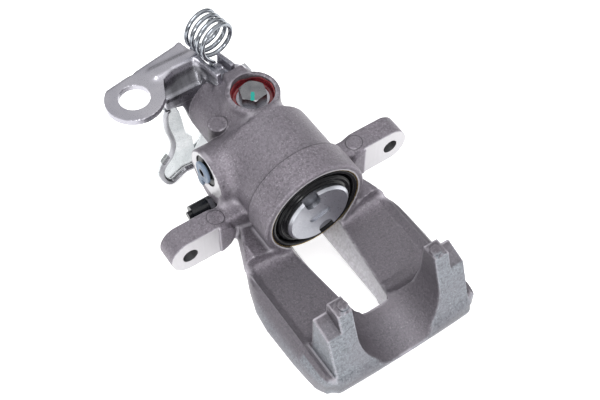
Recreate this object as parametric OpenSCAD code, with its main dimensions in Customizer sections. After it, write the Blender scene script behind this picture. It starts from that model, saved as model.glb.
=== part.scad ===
// Floating brake caliper for a rear wheel, with a built-in parking brake.
// +X runs along the two guide ears, +Y along the piston axis towards the parking
// lever, and +Z points to where the finger tips point. The origin is the centre
// of the cylinder mouth, on the piston axis. All sizes are millimetres.

/* [Cylinder] */
// Diameter of the piston
piston_d = 38; // [37.6:0.1:38.2]
// Outer diameter of the flange ring round the mouth
flange_d = 59; // [58:0.5:61]
// Outer diameter of the cylinder barrel
barrel_d = 56; // [55:0.5:58]
// Length of the barrel from the mouth
barrel_l = 50; // [49:0.5:52]
// Outer diameter of the mechanism housing behind the barrel
rear_d = 42; // [41:0.5:44]
// Distance from the mouth to the rear face
body_l = 88; // [87.5:0.5:88.5]

/* [Guide ears] */
// Distance between the two guide bolt holes
guide_spacing = 124; // [120:0.5:128]
// Diameter of a guide bolt hole
guide_hole_d = 8.4; // [8:0.1:9]
// Height of the guide holes against the piston axis
guide_z = -14; // [-15:0.5:-13]
// Machined front face of an ear
ear_face_y = 19.7; // [19:0.1:20.5]
// Thickness of an ear
ear_t = 13; // [12:0.5:14]

/* [Bridge and fingers] */
// Greatest width of the bridge
bridge_w = 99; // [97:0.5:101]
// Face of the fingers that pushes the outer pad
pad_face_y = -54; // [-56:0.5:-53]
// Height of the finger tips
finger_z = 14.5; // [13:0.5:16]
// Half the distance between the two locating pegs
peg_x = 26.6; // [26:0.1:27]
// Radius of the half-moon between the fingers
moon_r = 23.7; // [23:0.1:24]

/* [Parking brake] */
// Height of the top face of the cable bracket
bracket_z = 30; // [29:0.5:31]
// Sheet thickness of the cable bracket
sheet_t = 3.5; // [3:0.1:3.6]
// Bore for the cable end in the bracket
cable_bore_d = 16.2; // [15.6:0.1:16.6]
// Wire diameter of the return spring
wire_d = 2.4; // [2.2:0.1:2.5]

/* [Hidden] */
$fn = 96;
e = 0.01;              // small overlap that keeps two shapes of one solid joined
run = 0.04;            // radial clearance of a running fit
seat = 0.02;           // gap all round a part that is pressed or bolted onto another

bore_r = piston_d / 2;
piston_r = bore_r - run;
bore_l = 46;           // depth of the piston bore
chamber_r = 15;        // bore of the mechanism chamber
chamber_l = 76;        // end of the chamber
bush_r = 9;
shaft_r = 7.5;
thread_r = 5;          // thread at the end of the lever shaft
boot_r = 26;           // bore that holds the boot
boot_l = 7;
piston_face_y = -3.5;
piston_l = 43.5;
spindle_r = 5;
ball_r = 3;
ball_ring_r = 10;
ball_y = 70;           // plane of the ball centres
boss = [4.2, 63.3];    // axis of the lock bolt, x and y
boss_z = 26;
recess_z = 19.5;
port = [47.5, 5.5];    // axis of the hose port, y and z
port_boss = [47, 0.5]; // centre of the round boss that carries it
port_x = -35;
port_rim_r = 8.8;       // shallow seat round the port
bleed = [43, -17];     // axis of the bleed screw, y and z
bleed_x = -33;
guide_x = guide_spacing / 2;
cable = [-48.8, 90.1]; // axis of the cable bore, x and y
coil = [-1.3, 94.7, 43]; // centre of the return spring
coil_r = 10;           // mean radius of its turns
coil_turns = 3.5;
coil_pitch = 4.3;
coil_yaw = 8;          // its axis turns this far from Y towards X
coil_start = 215;      // where its front turn begins, in degrees from X
lever_y = 93;          // front face of the lever plate
lever_t = 4;

// ---------------------------------------------------------------- helpers
// A round bar along Y
module bar_y(r, y0, y1, x = 0, z = 0)
  translate([x, y0, z]) rotate([-90, 0, 0]) cylinder(r = r, h = y1 - y0);

// A round bar along X
module bar_x(r, x0, x1, y = 0, z = 0)
  translate([x0, y, z]) rotate([0, 90, 0]) cylinder(r = r, h = x1 - x0);

// A round bar along Z
module bar_z(r, z0, z1, x = 0, y = 0)
  translate([x, y, z0]) cylinder(r = r, h = z1 - z0);

// A ring about the piston axis
module ring_y(r_out, r_in, y0, y1)
  difference() { bar_y(r_out, y0, y1); bar_y(r_in, y0 - 1, y1 + 1); }

// A body turned about the piston axis from a profile of [radius, y] points
module turned_y(profile) rotate([-90, 0, 0]) rotate_extrude() polygon(profile);

// An outline in X and Z carried from y0 to y1
module plate_y(y0, y1) translate([0, y1, 0]) rotate([90, 0, 0]) linear_extrude(y1 - y0) children();

// An outline in Y and Z carried from x0 to x1
module plate_x(x0, x1) translate([x0, 0, 0]) rotate([90, 0, 90]) linear_extrude(x1 - x0) children();

// The same shape on the right and on the left
module both_sides() { children(); mirror([1, 0, 0]) children(); }

// Rounds the outer corners of an outline
module soft(r) offset(r = r, $fn = 32) offset(delta = -r) children();

// A hexagon head with its flats w apart
module hexagon(w, h) cylinder(r = w / sqrt(3), h = h, $fn = 6);

// Points of a helix about Y: radius, pitch, turns, start angle, start y, points a turn
function helix(r, pitch, turns, a0, y0, n = 20) =
  [for (i = [0 : turns * n]) let (a = a0 - 360 * i / n) [r * cos(a), y0 + pitch * i / n, r * sin(a)]];

// A round wire along a route that stays roughly square to Y
module wire(route, r, sides = 8) {
  last = len(route) - 1;
  way = [for (i = [0 : last]) route[min(i + 1, last)] - route[max(i - 1, 0)]];
  rings = [for (i = [0 : last])
    let (t = way[i] / norm(way[i]), s = cross(t, [0, 1, 0]), n = s / norm(s), b = cross(n, t))
    for (k = [0 : sides - 1]) route[i] + r * (n * cos(360 * k / sides) + b * sin(360 * k / sides))];
  skin = [for (i = [0 : last - 1], k = [0 : sides - 1]) let (a = i * sides, m = (k + 1) % sides)
    [a + k, a + sides + k, a + sides + m, a + m]];
  front = [for (k = [0 : sides - 1]) k];
  back = [for (k = [sides - 1 : -1 : 0]) last * sides + k];
  polyhedron(rings, concat([front, back], skin));
}

// ---------------------------------------------------------------- housing
// Half of the bridge outline seen from above, from the barrel to the outer edge
bridge_half = [[0, 36], [20, 36], [33, 20], [38, 8], [44, -6], [bridge_w / 2 - 1.5, -18],
               [bridge_w / 2, -30], [bridge_w / 2 - 0.8, -52], [bridge_w / 2 - 2.6, -67.5],
               [bridge_w / 2 - 5.4, -74], [bridge_w / 2 - 12.5, -77.4], [17, -79], [0, -79.2]];
// Half of the bridge section seen along the piston axis
bridge_section = [[0, -24], [9, -23.6], [20, -22.6], [32, -20.6], [41, -18.8], [44, -20],
                  [48, -25], [52, -29], [48, -32], [30, -35.5], [0, -38]];
// Bridge seen from the side, in Y and Z: it thins towards the outer edge
bridge_side = [[40, -10], [40, -30], [20, -40], [-48, -40], [-68, -34.5], [-77.5, -30], [-79.5, -26], [-79.5, -10]];
// Profile of the outer wall and its fingers in Y and Z
finger_profile = [[pad_face_y, finger_z], [-63, finger_z], [-77.3, -26], [-77, -28.5], [-74.5, -30.5],
                  [-66, -35], [-44, -37], [-44, -23.2], [-47.5, -22.2], [-51.5, -18.8], [pad_face_y, -13]];

module bridge_outline()
  soft(6) both_sides() polygon(bridge_half);

module bridge_plate()
  intersection() {
    translate([0, 0, -45]) linear_extrude(60) bridge_outline();
    plate_y(-80, 40) both_sides() polygon(bridge_section);
    plate_x(-60, 60) polygon(bridge_side);
  }

// Shoulder that carries the mouth down into the two arms
module bridge_shoulder()
  intersection() {
    translate([0, 0, -45]) linear_extrude(60) bridge_outline();
    plate_y(1, 19) both_sides() polygon([[10, -25], [15, -22.5], [27, -16], [36, -12.5], [40, -14], [43, -19], [30, -27]]);
  }

// The window in the bridge: wider on the disc side and towards the piston
module bridge_window()
  intersection() {
    translate([0, 0, -45]) linear_extrude(40)
      polygon([[-16.5, 20], [16.5, 20], [15, 0], [9.2, -49], [7.5, -51.5], [-7.5, -51.5], [-9.2, -49], [-15, 0]]);
    plate_y(-60, 20) polygon([[-16.5, -18], [16.5, -18], [15, -24], [7, -40], [-7, -40], [-15, -24]]);
  }

// The outer wall with its two finger tips; each tip steps down on its outer side
module finger_wall()
  difference() {
    union() {
      plate_x(-39.5, 39.5) polygon(finger_profile);
      both_sides() bar_z(2.6, finger_z - e, finger_z + 1.8, peg_x, -59.5);
    }
    plate_x(31.8, 45) polygon(tip_step);
    plate_x(-45, -31.8) polygon(tip_step);
  }
tip_step = [[pad_face_y + 1, 8.5], [-67, 4.2], [-67, 20], [pad_face_y + 1, 20]];

// A tilted round cut between the fingers, wider open towards the outside
module half_moon()
  union() {
    translate([0, -46, moon_r - 21.2]) rotate([102, 0, 0]) cylinder(r = moon_r, h = 45);
    translate([-moon_r, -90, 3]) cube([2 * moon_r, 45, 30]);
  }

module guide_ears()
  both_sides() difference() {
    union() {
      bar_y(10.4, ear_face_y, ear_face_y + ear_t, guide_x, guide_z);
      translate([46, ear_face_y, guide_z - 10.4]) cube([guide_x - 46, ear_t, 20.8]);
      translate([15, ear_face_y + 1.6, guide_z - 9.4]) cube([32, ear_t - 1.6, 18.2]);
      bar_z(4.5, guide_z + 8, guide_z + 9.2, 42.7, ear_face_y + 6.8);
    }
    bar_y(guide_hole_d / 2, ear_face_y - 1, ear_face_y + ear_t + 1, guide_x, guide_z);
  }

module caliper_housing() color("#97929a") difference() {
  union() {
    // flange ring, barrel and mechanism housing turned about one axis
    turned_y([[0, 0], [flange_d / 2 - 1, 0], [flange_d / 2, 1.5], [flange_d / 2, 17],
              [barrel_d / 2, 17.8], [barrel_d / 2, barrel_l - 3], [barrel_d / 2 - 3, barrel_l],
              [rear_d / 2 + 1, barrel_l + 2], [rear_d / 2, barrel_l + 5],
              [rear_d / 2, body_l - 1], [rear_d / 2 - 1, body_l], [0, body_l]]);
    difference() { bridge_plate(); bridge_window(); }
    bridge_shoulder();
    finger_wall();
    guide_ears();
    bar_z(14.2, 0, boss_z, boss[0], boss[1]);
    translate([-2, 66, 10]) cube([11, 13.2, 16.5]);
    bar_x(15.5, port_x, 0, port_boss[0], port_boss[1]);
    bar_x(7, bleed_x, 0, bleed[0], bleed[1]);
    bar_z(5.2, 0, 14.5, -18, 62.5);
  }
  half_moon();
  // piston bore, boot bore, seal groove and mechanism chamber
  turned_cavity();
  // recess and thread of the lock bolt
  bar_z(11.6, recess_z, boss_z + 1, boss[0], boss[1]);
  bar_z(4.1, 5, recess_z + 1, boss[0], boss[1]);
  // hose port with its feed drilling
  bar_x(port_rim_r, port_x - 1, port_x + 2, port[0], port[1]);
  bar_x(5, port_x - 1, port_x + 13, port[0], port[1]);
  bar_x(1.75, port_x + 11, -5, port[0], port[1]);
  // bleed thread with its drilling
  bar_x(3.5, port_x - 1, bleed_x + 12, bleed[0], bleed[1]);
  bar_x(1.4, bleed_x + 11, -5, bleed[0], bleed[1]);
  // threads of the two bracket screws
  for (p = screw_places) bar_y(2.6, body_l - 10, body_l + 1, p[0], p[1]);
}

module turned_cavity()
  turned_y([[0, -1], [boot_r + 0.05, -1], [boot_r + 0.05, boot_l], [bore_r, boot_l],
            [bore_r, 10], [bore_r + 3, 10], [bore_r + 3, 13.5], [bore_r, 13.5],
            [bore_r, bore_l], [chamber_r, bore_l], [chamber_r, bore_l + 1],
            [chamber_r + 1.2, bore_l + 1], [chamber_r + 1.2, bore_l + 2.6], [chamber_r, bore_l + 2.6],
            [chamber_r, chamber_l], [bush_r, chamber_l], [bush_r, body_l - 4],
            [11.5, body_l - 4], [11.5, body_l + 1], [0, body_l + 1]]);

// ---------------------------------------------------------------- piston group
module piston() color("#d8dade") difference() {
  turned_y([[0, piston_face_y], [piston_r - 2.2, piston_face_y], [piston_r - 0.8, piston_face_y + 1.2],
            [piston_r - 0.8, -0.5], [piston_r - 1.6, -0.5], [piston_r - 1.6, 2.5], [piston_r, 2.5],
            [piston_r, piston_face_y + piston_l - 1], [piston_r - 1, piston_face_y + piston_l],
            [15, piston_face_y + piston_l], [15, 37], [14, 36.2], [15, 36.2], [15, 34.4],
            [14, 34.4], [14, 2.8], [0, 2.8]]);
  // two pockets for the winding tool and a shallow slot, a little off upright
  rotate([0, -18, 0]) {
    for (s = [-1, 1]) {
      bar_y(4.2, piston_face_y - 1, piston_face_y + 2.6, 0, s * 13.2);
      translate([-4.2, piston_face_y - 1, s > 0 ? 13.2 : -22]) cube([8.4, 3.6, 8.8]);
    }
    for (s = [-1, 1]) bar_y(2.6, piston_face_y - 1, piston_face_y + 0.9, s * 3.4, 0);
    translate([-3.4, piston_face_y - 1, -2.6]) cube([6.8, 1.9, 5.2]);
  }
}

module piston_seal() color("#1d1d1f") ring_y(bore_r + 2.95, bore_r + 0.02, 10.1, 13.4);

// A rubber bellows from the bore in the housing to the groove in the piston
module dust_boot() color("#161618")
  turned_y([[boot_r - 0.45, 0.6], [boot_r - 0.45, 6.5], [boot_r - 1.9, 6.5], [boot_r - 1.9, 2.2],
            [boot_r - 2.6, 1.9], [boot_r - 3.1, 5.6], [boot_r - 4.3, 5.9], [boot_r - 4.9, 2.1],
            [boot_r - 5.7, 1.6], [boot_r - 6.2, 2.3], [piston_r - 1.5, 2.3], [piston_r - 1.5, -0.4],
            [boot_r - 6.0, -0.4], [boot_r - 4.7, 0.4], [boot_r - 3.7, 3.4],
            [boot_r - 3.4, 0.6], [boot_r - 2.4, 0]]);

module boot_ring() color("#b09a5c") ring_y(boot_r, boot_r - 0.4, 0.3, 6.6);

module adjuster_nut() color("#8f9196")
  difference() {
    union() { bar_y(10.5, 4, 23); bar_y(13.4, 19, 23); }
    bar_y(spindle_r + run, 3, 24);
    for (a = [0 : 45 : 135]) rotate([0, a, 0]) translate([-1.5, 3.5, -12]) cube([3, 5, 24]);
  }

module nut_bearing() color("#b9bbc0") ring_y(13.4, 8.5, 23, 26);

module nut_spring() color("#9aa0a8")
  wire(helix(11.2, 2.55, 2.5, 0, 27.2), 1.0, 6);

module nut_circlip() color("#55585c") difference() {
  ring_y(14.9, 11.6, 34.5, 36.1);
  translate([-3, 34, 0]) cube([6, 3, 20]);
}

// ---------------------------------------------------------------- spindle group
module adjuster_spindle() color("#8c8f94") union() {
  bar_y(spindle_r, 5.5, 64);
  bar_y(7, 58, 63.2);
}

module ramp_plate() color("#7e8287") difference() {
  // the step in front seats the spindle spring
  turned_y([[spindle_r + seat, 63.2], [7 + seat, 63.2], [7 + seat, 61], [12.2, 61], [12.2, 63.2],
            [14.2, 63.2], [14.2, ball_y - 1], [spindle_r + seat, ball_y - 1]]);
  turned_groove();
  // slot for the tip of the lock bolt
  translate([boss[0] - 3.3, 60, 8.6]) cube([6.6, 12, 10]);
}

// Race for the balls, the same in both plates
module turned_groove()
  rotate([-90, 0, 0]) rotate_extrude()
    translate([ball_ring_r, ball_y]) circle(r = ball_r + 0.1, $fn = 48);

module spindle_spring() color("#9aa0a8") wire(helix(10.2, 2.95, 3, 0, 51.2), 0.95, 6);

module spring_cage() color("#a9acb1") union() {
  ring_y(14.9, 7.2, 48.7, 50.2);
  difference() {
    ring_y(14.9, 13.4, 50.2 - e, 60.5);
    // a gap under the lock bolt
    translate([boss[0] - 5, 55, 0]) cube([10, 10, 20]);
  }
}

module cage_circlip() color("#55585c") difference() {
  ring_y(chamber_r + 1.1, 12, bore_l + 1.05, bore_l + 2.6);
  translate([-3, bore_l, 0]) cube([6, 4, 20]);
}

// ---------------------------------------------------------------- ball ramp
ball_angles = [30, 150, 270];

module ramp_balls() color("#e2e4e8")
  for (a = ball_angles)
    translate([ball_ring_r * cos(a), ball_y, ball_ring_r * sin(a)]) sphere(r = ball_r, $fn = 48);

module ball_cage() color("#b39a58") difference() {
  ring_y(13.6, 7.2, ball_y - 0.5, ball_y + 0.5);
  for (a = ball_angles)
    bar_y(ball_r + 0.05, ball_y - 2, ball_y + 2, ball_ring_r * cos(a), ball_ring_r * sin(a));
}

module thrust_washer() color("#a8874a") ring_y(13.6, 8.2, 75, 75.96);

// A round bar with two flats, larger all round by a gap
module double_flats(gap, y0, y1)
  intersection() {
    bar_y(shaft_r + gap, y0, y1);
    translate([-5.6 - gap, y0 - 1, -10]) cube([11.2 + 2 * gap, y1 - y0 + 2, 20]);
  }

module lever_shaft() color("#878a90") difference() {
  union() {
    bar_y(13.6, ball_y + 1, 74.9);
    bar_y(shaft_r, 74, 92.2);
    // double flats carry the lever
    double_flats(0, 92, lever_y + lever_t);
    bar_y(thread_r, 96.5, 108);
  }
  turned_groove();
}

module shaft_bush() color("#b59b5e") ring_y(bush_r - 0.01, shaft_r + run, chamber_l + 0.2, body_l - 4.1);

module shaft_seal() color("#1b1b1d") ring_y(11.45, shaft_r + run, body_l - 3.9, body_l - 0.2);

// ---------------------------------------------------------------- parking lever
// Outline of the lever in X and Z: a hub, and an arm that runs down to the hook in one
// S-shaped sweep from an upright finger
lever_arm = [[8, -9.5], [-3, -30], [-12, -48], [-19, -53], [-24.4, -52.5], [-28.2, -54.3],
             [-31.8, -56.3], [-34.8, -56.8], [-37.8, -54.6], [-40.2, -49.4], [-40.6, -42.9],
             [-37.7, -36.8], [-33.7, -32.6], [-31.3, -26.4], [-31.4, -20.5], [-33, -12.7],
             [-33.5, -4], [-31.8, 4.4], [-25, 3], [-22.4, -8.5], [-21, -21.6], [-17.6, -26.9],
             [-16.8, -38], [-10, -22], [-9, 6]];
// Where the arm's edge is turned up into a rim: its outer side and round the hook
rim_zone = [[-50, 12], [-29.3, 12], [-28, -10], [-25.5, -25], [-29, -37], [-33, -44], [-31, -48.5],
            [-22, -46], [-13, -46], [-13, -70], [-50, -70]];

module lever_outline()
  union() {
    circle(r = 12.5);
    soft(0.8) polygon(lever_arm);
    rotate(110) translate([9, -2.5]) square([8, 5]);
  }

// A stamped tray: a flat web with a high rim
module park_lever() color("#c9ccd1") difference() {
  union() {
    plate_y(lever_y + 1.2, lever_y + lever_t) lever_outline();
    plate_y(lever_y, lever_y + lever_t) circle(r = 12.5);
    plate_y(lever_y - 0.9, lever_y + lever_t) intersection() {
      difference() { lever_outline(); offset(delta = -2.6) lever_outline(); }
      polygon(rim_zone);
    }
  }
  double_flats(seat, lever_y - 2, lever_y + lever_t + 1);
}

module lever_washer() color("#c5c8cc") ring_y(9.5, thread_r + seat, 97.2, 98.8);

module lever_nut() color("#b4b8be") difference() {
  translate([0, 98.8, 0]) rotate([-90, 0, 0]) hexagon(16, 7.6);
  bar_y(thread_r + seat, 98, 108);
}

// Torsion spring between bracket and lever: a leg, the turns and a leg
function coil_place(p) = [p[0] * cos(coil_yaw) - p[1] * sin(coil_yaw),
                          p[0] * sin(coil_yaw) + p[1] * cos(coil_yaw), p[2]] + coil;
spring_route = concat(
  [[-1.2, 95.6, 15], [-1.3, 95.5, 19], [-1.6, 94.8, 22.5], [-2.1, 92.6, 25.5],
   [-2.8, 89.8, 28.2], [-4, 87.4, 31], [-6.2, 86.5, 34.2]],
  [for (p = helix(coil_r, coil_pitch, coil_turns, coil_start, -coil_pitch * coil_turns / 2, 24)) coil_place(p)],
  [[6.7, 103.6, 46.2], [6, 104, 43.8], [3.6, 104.3, 40], [-1.5, 104.5, 34.5],
   [-5.4, 104.6, 30.4], [-7.2, 104.6, 27.2], [-7.6, 104.5, 23.5]]);

module return_spring() color("#dfe2e6") wire(spring_route, wire_d / 2, 10);

// ---------------------------------------------------------------- cable bracket
screw_places = [[16.5, 6], [14, -11]];
channel_z = 21.2;      // underside of the spring channel
channel_w = 7.2;       // its inner width

// The ear that holds the cable, seen from above
module ear_outline()
  union() {
    translate(cable) circle(r = 15.2);
    soft(2) polygon([[-58, 101.5], [-44, 102.5], [-37.5, 107.4], [-11.4, 112], [-7.9, 96.9],
                     [-24, 96.6], [-30.5, 92.5], [-36.5, 81], [-50, 80]]);
  }

module cable_bracket() color("#c3c3cb") difference() {
  union() {
    // ear and its folded far edge
    translate([0, 0, bracket_z - sheet_t]) linear_extrude(sheet_t) ear_outline();
    translate([-36.5, 107.4, bracket_z - 8]) rotate(10) translate([0, -2.8, 0]) cube([25, 2.8, 8 - e]);
    // spring channel, turned a little like the spring above it
    translate([-4.1, 80.2, channel_z]) rotate(12.5) {
      translate([-sheet_t, -0.5, 0]) cube([sheet_t, 32, bracket_z - channel_z]);
      translate([channel_w, 0, 0]) cube([3, 11.5, bracket_z - channel_z - 1]);
      translate([-sheet_t, -0.5, 0]) cube([sheet_t + channel_w + 3, 11.3, 2.4]);
    }
    // web that falls from the ear to the foot
    plate_x(-33, -8) polygon([[100, bracket_z - e], [96.2, bracket_z - e], [body_l, 17], [body_l, 12],
                              [body_l + sheet_t, 12], [body_l + sheet_t, 17.2], [99.5, 28]]);
    // flat foot against the rear face
    plate_y(body_l, body_l + sheet_t) soft(3) union() {
      circle(r = rear_d / 2 - 0.5);
      polygon([[3.6, 10], [3.6, 23.6], [-10, 23.6], [-12, 19], [-33, 19],
               [-33, 12], [-24, 9], [-18, -8], [0, -12]]);
    }
  }
  bar_z(cable_bore_d / 2, bracket_z - 10, bracket_z + 5, cable[0], cable[1]);
  bar_y(12, body_l - 1, body_l + 5);
  for (p = screw_places) bar_y(2.7, body_l - 1, body_l + 5, p[0], p[1]);
}

module bracket_screws() color("#b9bdc3") for (p = screw_places) {
  bar_y(2.5, body_l - 9, body_l + 4, p[0], p[1]);
  translate([p[0], body_l + sheet_t, p[1]]) rotate([-90, 0, 0]) hexagon(8, 3.5);
}

// ---------------------------------------------------------------- lock bolt
module lock_bolt() color("#cfd2d6") union() {
  translate([boss[0], boss[1], recess_z + 2]) rotate(12) hexagon(13, 5.3);
  bar_z(4, chamber_r + 0.2, recess_z + 2 + e, boss[0], boss[1]);
  bar_z(2.9, 9.2, chamber_r + 0.2 + e, boss[0], boss[1]);
}

module lock_washer() color("#c2c5c9") translate([boss[0], boss[1], 0]) difference() {
  bar_z(8.6, recess_z, recess_z + 2);
  bar_z(4.05, recess_z - 1, recess_z + 3);
}

module boss_sealant() color("#8e1f22") translate([boss[0], boss[1], 0]) difference() {
  union() {
    bar_z(11.55, recess_z, recess_z + 1.2);
    bar_z(11.55, recess_z, boss_z - 0.8);
  }
  bar_z(10.9, recess_z + 1.2, boss_z + 1);
  bar_z(8.65, recess_z - 1, boss_z);
}

// ---------------------------------------------------------------- ports
module port_plug() color("#8492a3") difference() {
  union() {
    // round cap, the collar that seals on the seat, and the stem
    bar_x(6.2, port_x - 2.2, port_x - 0.5, port[0], port[1]);
    bar_x(port_rim_r - 0.3, port_x + 0.5, port_x + 1.9, port[0], port[1]);
    bar_x(4.95, port_x - 1, port_x + 8, port[0], port[1]);
    // pull tab
    translate([port_x - 2.2, port[0] + 0.5, port[1] - 9.5]) cube([1.6, 4, 6]);
    bar_x(2.6, port_x - 2.2, port_x - 0.6, port[0] + 2.5, port[1] - 9.5);
  }
  bar_x(1.7, port_x - 4, port_x + 5, port[0], port[1]);
}

module bleed_screw() color("#b8bcc2") translate([0, bleed[0], bleed[1]]) difference() {
  union() {
    bar_x(3.44, port_x - 0.4, bleed_x + 10.5);
    translate([bleed_x - 5, 0, 0]) rotate([0, 90, 0]) hexagon(8, 2.7);
    bar_x(2.6, bleed_x - 10.5, bleed_x - 4.9);
    bar_x(3.2, bleed_x - 13, bleed_x - 10.4);
  }
  bar_x(0.9, bleed_x - 14, bleed_x + 2);
}

module bleed_cap() color("#141416") translate([0, bleed[0], bleed[1]]) difference() {
  union() {
    bar_x(4.6, bleed_x - 14.8, bleed_x - 5.3);
    bar_x(2.2, bleed_x - 17, bleed_x - 14.7);
  }
  bar_x(3.25, bleed_x - 13.3, bleed_x - 5);
}

caliper_housing();
piston();
piston_seal();
dust_boot();
boot_ring();
adjuster_nut();
nut_bearing();
nut_spring();
nut_circlip();
adjuster_spindle();
ramp_plate();
spindle_spring();
spring_cage();
cage_circlip();
ramp_balls();
ball_cage();
thrust_washer();
lever_shaft();
shaft_bush();
shaft_seal();
park_lever();
lever_washer();
lever_nut();
return_spring();
cable_bracket();
bracket_screws();
lock_bolt();
lock_washer();
boss_sealant();
port_plug();
bleed_screw();
bleed_cap();
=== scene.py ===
# %% [markdown]
# # A floating rear brake caliper
# The frame is the measured model of the caliper: thirty-two nodes on eight bodies, in
# metres, with X along the guide ears, Y along the piston and Z towards the finger tips.
# It is loaded first. Everything below either gives one of its nodes a finish, or builds
# a finer piece that stands for a node; all but the boot and the spring ride on the same body.

import math

import bpy
import numpy as np
from mathutils import Matrix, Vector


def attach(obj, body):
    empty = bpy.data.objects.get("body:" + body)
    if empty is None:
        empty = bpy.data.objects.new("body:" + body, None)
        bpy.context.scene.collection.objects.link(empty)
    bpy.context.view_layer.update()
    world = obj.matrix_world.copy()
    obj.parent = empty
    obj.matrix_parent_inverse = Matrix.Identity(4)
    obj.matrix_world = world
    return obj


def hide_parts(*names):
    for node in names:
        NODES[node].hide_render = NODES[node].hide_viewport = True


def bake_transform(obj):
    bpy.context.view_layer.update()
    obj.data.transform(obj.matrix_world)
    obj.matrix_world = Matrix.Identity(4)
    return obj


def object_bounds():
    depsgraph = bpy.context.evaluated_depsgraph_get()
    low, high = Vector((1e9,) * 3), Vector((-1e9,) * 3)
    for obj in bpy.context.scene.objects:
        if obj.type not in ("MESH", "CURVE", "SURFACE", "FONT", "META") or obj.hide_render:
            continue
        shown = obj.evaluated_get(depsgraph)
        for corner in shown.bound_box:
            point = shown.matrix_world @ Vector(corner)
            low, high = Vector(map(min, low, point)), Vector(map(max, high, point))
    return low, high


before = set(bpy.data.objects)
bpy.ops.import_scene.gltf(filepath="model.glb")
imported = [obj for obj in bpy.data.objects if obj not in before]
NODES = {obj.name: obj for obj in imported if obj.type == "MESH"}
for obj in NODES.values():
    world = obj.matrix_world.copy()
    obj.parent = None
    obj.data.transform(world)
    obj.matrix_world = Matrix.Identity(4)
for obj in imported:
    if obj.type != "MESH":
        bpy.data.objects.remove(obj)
cad_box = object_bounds()

# %% [markdown]
# ## Shapes as distance functions
# A casting has no simple outline: bosses melt into the barrel through soft fillets, and
# then a mill cuts flat faces and sharp holes into it. Subdivision modelling would need a
# careful hand-made cage, and a grid of two parameters can't branch into arms and ears.
# A distance function says for every point how far it is from the skin, below zero
# inside. Two shapes are joined by taking the smaller distance, and a fillet is only a
# smooth version of that minimum. All lengths are millimetres.

# %% Distance helpers
def join(a, b, k=0.0):
    """The smaller of two distances; k is the width of the fillet where they meet."""
    if k == 0:
        return np.minimum(a, b)
    h = np.maximum(k - np.abs(a - b), 0) / k
    return np.minimum(a, b) - h * h * k / 4


def cut(a, b, k=0.0):
    """Shape a without shape b, with the new edge rounded over the width k."""
    return -join(-a, b, k)


def both(a, b, k=0.0):
    """What lies in both shapes, with the new edge rounded over the width k."""
    return -join(-a, -b, k)


def carried(flat, w, w0, w1, edge=0.0):
    """A flat outline's distance carried along w from w0 to w1, its edges rounded."""
    a, b = flat + edge, np.abs(w - (w0 + w1) / 2) - (w1 - w0) / 2 + edge
    return np.minimum(np.maximum(a, b), 0) + np.hypot(np.maximum(a, 0), np.maximum(b, 0)) - edge


def bar(u, v, w, r, w0, w1, edge=0.0):
    """A round bar of radius r along w from w0 to w1; u and v are measured from its axis."""
    return carried(np.hypot(u, v) - r, w, w0, w1, edge)


def block(u, v, w, low, high, edge=0.0):
    """A block between two corners: the length of what lies outside each pair of faces."""
    q = [np.abs(c - (a + b) / 2) - (b - a) / 2 + edge for c, a, b in zip((u, v, w), low, high)]
    out = np.sqrt(sum(np.maximum(c, 0) ** 2 for c in q))
    return out + np.minimum(np.maximum(np.maximum(q[0], q[1]), q[2]), 0) - edge


def outline(u, v, points):
    """Distance to a closed outline: the nearest of its sides, negative where a ray
    crosses the sides an odd number of times."""
    u, v = np.broadcast_arrays(u, v)
    nearest, inside = np.full(u.shape, 1e9, np.float32), np.zeros(u.shape, bool)
    for (au, av), (bu, bv) in zip(points, points[-1:] + points[:-1]):
        eu, ev = bu - au, bv - av
        wu, wv = u - au, v - av
        t = np.clip((wu * eu + wv * ev) / (eu * eu + ev * ev), 0, 1)
        nearest = np.minimum(nearest, (wu - eu * t) ** 2 + (wv - ev * t) ** 2)
        if ev != 0:
            inside ^= ((av > v) != (bv > v)) & (u < eu * (v - av) / ev + au)
    return np.where(inside, -1, 1) * np.sqrt(nearest)


def rounded(u, v, points, r):
    """An outline with its corners rounded to r: the outline moved inwards by r, whose
    corners are where neighbouring sides meet, then its distance less r."""
    p = np.array(points, float)
    e = np.roll(p, -1, 0) - p
    n = np.stack([e[:, 1], -e[:, 0]], 1) / np.linalg.norm(e, axis=1)[:, None]
    n *= np.sign((p[:, 0] * np.roll(p[:, 1], -1) - np.roll(p[:, 0], -1) * p[:, 1]).sum())
    shift = (p * n).sum(1) - r
    pairs = np.stack([np.roll(n, 1, 0), n], 1)
    inner = np.linalg.solve(pairs, np.stack([np.roll(shift, 1), shift], 1)[:, :, None])[:, :, 0]
    return outline(u, v, [tuple(q) for q in inner]) - r


def hexagon(u, v, flats):
    """Distance to a hexagon whose flats are that far apart, the first one across u."""
    q = [np.abs(u), np.abs(u * 0.5 + v * 0.8660254), np.abs(u * 0.5 - v * 0.8660254)]
    return np.maximum(np.maximum(q[0], q[1]), q[2]) - flats / 2


# %% [markdown]
# ## From a distance to a mesh
# The skin is where the distance is nought. Marching cubes would bevel every machined
# edge, so this is dual contouring: one vertex in each small cell that the skin crosses,
# put where the planes through the cell's crossings meet best. Flat faces come out
# flat and their edges sharp, and the fillets smooth.

# %% Contour a distance function
NEAR_END, PULL, MARGIN = 0.08, 0.04, 0.02   # shares of a grid edge, of a plane, of a cell


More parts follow.
